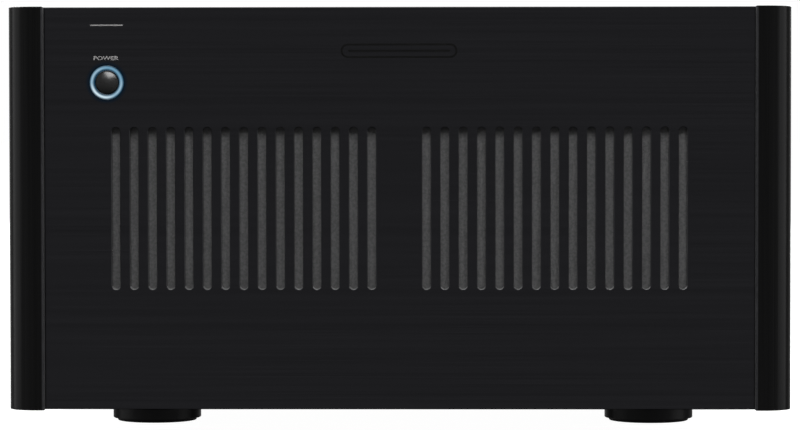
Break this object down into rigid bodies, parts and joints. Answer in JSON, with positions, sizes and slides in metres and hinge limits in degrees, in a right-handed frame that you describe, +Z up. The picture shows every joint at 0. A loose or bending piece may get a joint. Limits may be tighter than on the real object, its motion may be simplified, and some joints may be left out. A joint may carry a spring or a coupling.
{
  "type": "power amplifier",
  "caption": "Two-channel hi-fi power amplifier: slotted brushed black faceplate between rounded end columns, lit power button, round feet, rear sockets and binding posts.",
  "frame": {"origin": "on the surface the feet stand on, under the middle of the amplifier's box", "axes": "+Z up; the front faces -Y and the connectors +Y; +X is to the right as seen from the front"},
  "size_m": [0.431, 0.454, 0.237],
  "materials": {
    "black_anodised": "fine horizontal brushing under a satin black anodised layer",
    "black_paint": "fine-textured satin black powder coat on steel",
    "zinc_plate": "zinc-plated sheet steel",
    "grille_mesh": "dark grey fine mesh",
    "gloss_black": "polished black moulding",
    "light_guide": "frosted light guide, lit blue-white",
    "matt_black": "lightly grained black moulding",
    "red_plastic": "clear red moulding",
    "rubber": "matt black rubber",
    "capacitor_sleeve": "shrink-on dark blue sleeve",
    "circuit_board": "green solder mask on glass-fibre board",
    "nickel": "bright nickel plate",
    "gold": "gold-plated brass",
    "cable_sleeve": "flexible black cable sleeve"
  },
  "bodies": {
    "chassis": {"amplifier_board_left": "circuit_board", "amplifier_board_right": "circuit_board", "base_pan": "zinc_plate", "capacitor_1": "capacitor_sleeve", "capacitor_2": "capacitor_sleeve", "capacitor_3": "capacitor_sleeve", "capacitor_4": "capacitor_sleeve", "end_column_left": "black_anodised", "end_column_right": "black_anodised", "faceplate": "black_anodised", "foot_front_left": "gloss_black", "foot_front_right": "gloss_black", "foot_pad_front_left": "rubber", "foot_pad_front_right": "rubber", "foot_pad_rear_left": "rubber", "foot_pad_rear_right": "rubber", "foot_rear_left": "gloss_black", "foot_rear_right": "gloss_black", "front_subpanel": "zinc_plate", "grille_mesh": "grille_mesh", "heat_sink_left": "black_anodised", "heat_sink_right": "black_anodised", "input_board": "circuit_board", "mains_inlet": "matt_black", "mains_wiring": "cable_sleeve", "post_stud_left_black": "gold", "post_stud_left_red": "gold", "post_stud_right_black": "gold", "post_stud_right_red": "gold", "power_light_ring": "light_guide", "power_supply_board": "circuit_board", "power_switch": "matt_black", "rca_socket_left": "gold", "rca_socket_right": "gold", "rear_panel": "black_paint", "side_panel_left": "black_paint", "side_panel_right": "black_paint", "standby_board": "circuit_board", "switch_wiring": "cable_sleeve", "terminal_plate_left": "matt_black", "terminal_plate_right": "matt_black", "top_cover": "black_paint", "transformer_left": "black_paint", "transformer_right": "black_paint", "trigger_sockets": "matt_black", "xlr_socket_left": "matt_black", "xlr_socket_right": "matt_black"},
    "power_button": {"power_button": "gloss_black"},
    "input_selector": {"input_selector": "matt_black"},
    "trigger_selector": {"trigger_selector": "matt_black"},
    "xlr_latch_left": {"xlr_latch_left": "nickel"},
    "xlr_latch_right": {"xlr_latch_right": "nickel"},
    "post_washer_left_red": {"post_washer_left_red": "nickel"},
    "post_knob_left_red": {"post_knob_left_red": "red_plastic"},
    "post_washer_left_black": {"post_washer_left_black": "nickel"},
    "post_knob_left_black": {"post_knob_left_black": "matt_black"},
    "post_washer_right_red": {"post_washer_right_red": "nickel"},
    "post_knob_right_red": {"post_knob_right_red": "red_plastic"},
    "post_washer_right_black": {"post_washer_right_black": "nickel"},
    "post_knob_right_black": {"post_knob_right_black": "matt_black"}
  },
  "joints": [
    {"name": "power_button_press", "type": "slide", "parent": "chassis", "child": "power_button", "axis": [0, 1, 0], "range_m": [0, 0.003], "stiffness_N_per_m": 300, "springref_m": -0.002},
    {"name": "input_selector_slide", "type": "slide", "parent": "chassis", "child": "input_selector", "axis": [1, 0, 0], "range_m": [0, 0.004]},
    {"name": "trigger_selector_slide", "type": "slide", "parent": "chassis", "child": "trigger_selector", "axis": [1, 0, 0], "range_m": [0, 0.004]},
    {"name": "xlr_latch_left_press", "type": "slide", "parent": "chassis", "child": "xlr_latch_left", "axis": [0, -1, 0], "range_m": [0, 0.0015], "stiffness_N_per_m": 400, "springref_m": -0.001},
    {"name": "xlr_latch_right_press", "type": "slide", "parent": "chassis", "child": "xlr_latch_right", "axis": [0, -1, 0], "range_m": [0, 0.0015], "stiffness_N_per_m": 400, "springref_m": -0.001},
    {"name": "post_left_red_travel", "type": "slide", "parent": "chassis", "child": "post_washer_left_red", "axis": [0, 1, 0], "range_m": [0, 0.00501]},
    {"name": "post_left_red_turn", "type": "hinge", "parent": "post_washer_left_red", "child": "post_knob_left_red", "pos_m": [-0.106, 0.2051, 0.066], "axis": [0, 1, 0], "range_deg": [0, 1440]},
    {"name": "post_left_black_travel", "type": "slide", "parent": "chassis", "child": "post_washer_left_black", "axis": [0, 1, 0], "range_m": [0, 0.00501]},
    {"name": "post_left_black_turn", "type": "hinge", "parent": "post_washer_left_black", "child": "post_knob_left_black", "pos_m": [-0.144, 0.2051, 0.066], "axis": [0, 1, 0], "range_deg": [0, 1440]},
    {"name": "post_right_red_travel", "type": "slide", "parent": "chassis", "child": "post_washer_right_red", "axis": [0, 1, 0], "range_m": [0, 0.00501]},
    {"name": "post_right_red_turn", "type": "hinge", "parent": "post_washer_right_red", "child": "post_knob_right_red", "pos_m": [0.106, 0.2051, 0.066], "axis": [0, 1, 0], "range_deg": [0, 1440]},
    {"name": "post_right_black_travel", "type": "slide", "parent": "chassis", "child": "post_washer_right_black", "axis": [0, 1, 0], "range_m": [0, 0.00501]},
    {"name": "post_right_black_turn", "type": "hinge", "parent": "post_washer_right_black", "child": "post_knob_right_black", "pos_m": [0.144, 0.2051, 0.066], "axis": [0, 1, 0], "range_deg": [0, 1440]}
  ],
  "couplings": [
    {"joint": "post_left_red_travel", "follows": "post_left_red_turn", "m_per_rad": 0.00019894},
    {"joint": "post_left_black_travel", "follows": "post_left_black_turn", "m_per_rad": 0.00019894},
    {"joint": "post_right_red_travel", "follows": "post_right_red_turn", "m_per_rad": 0.00019894},
    {"joint": "post_right_black_travel", "follows": "post_right_black_turn", "m_per_rad": 0.00019894}
  ]
}
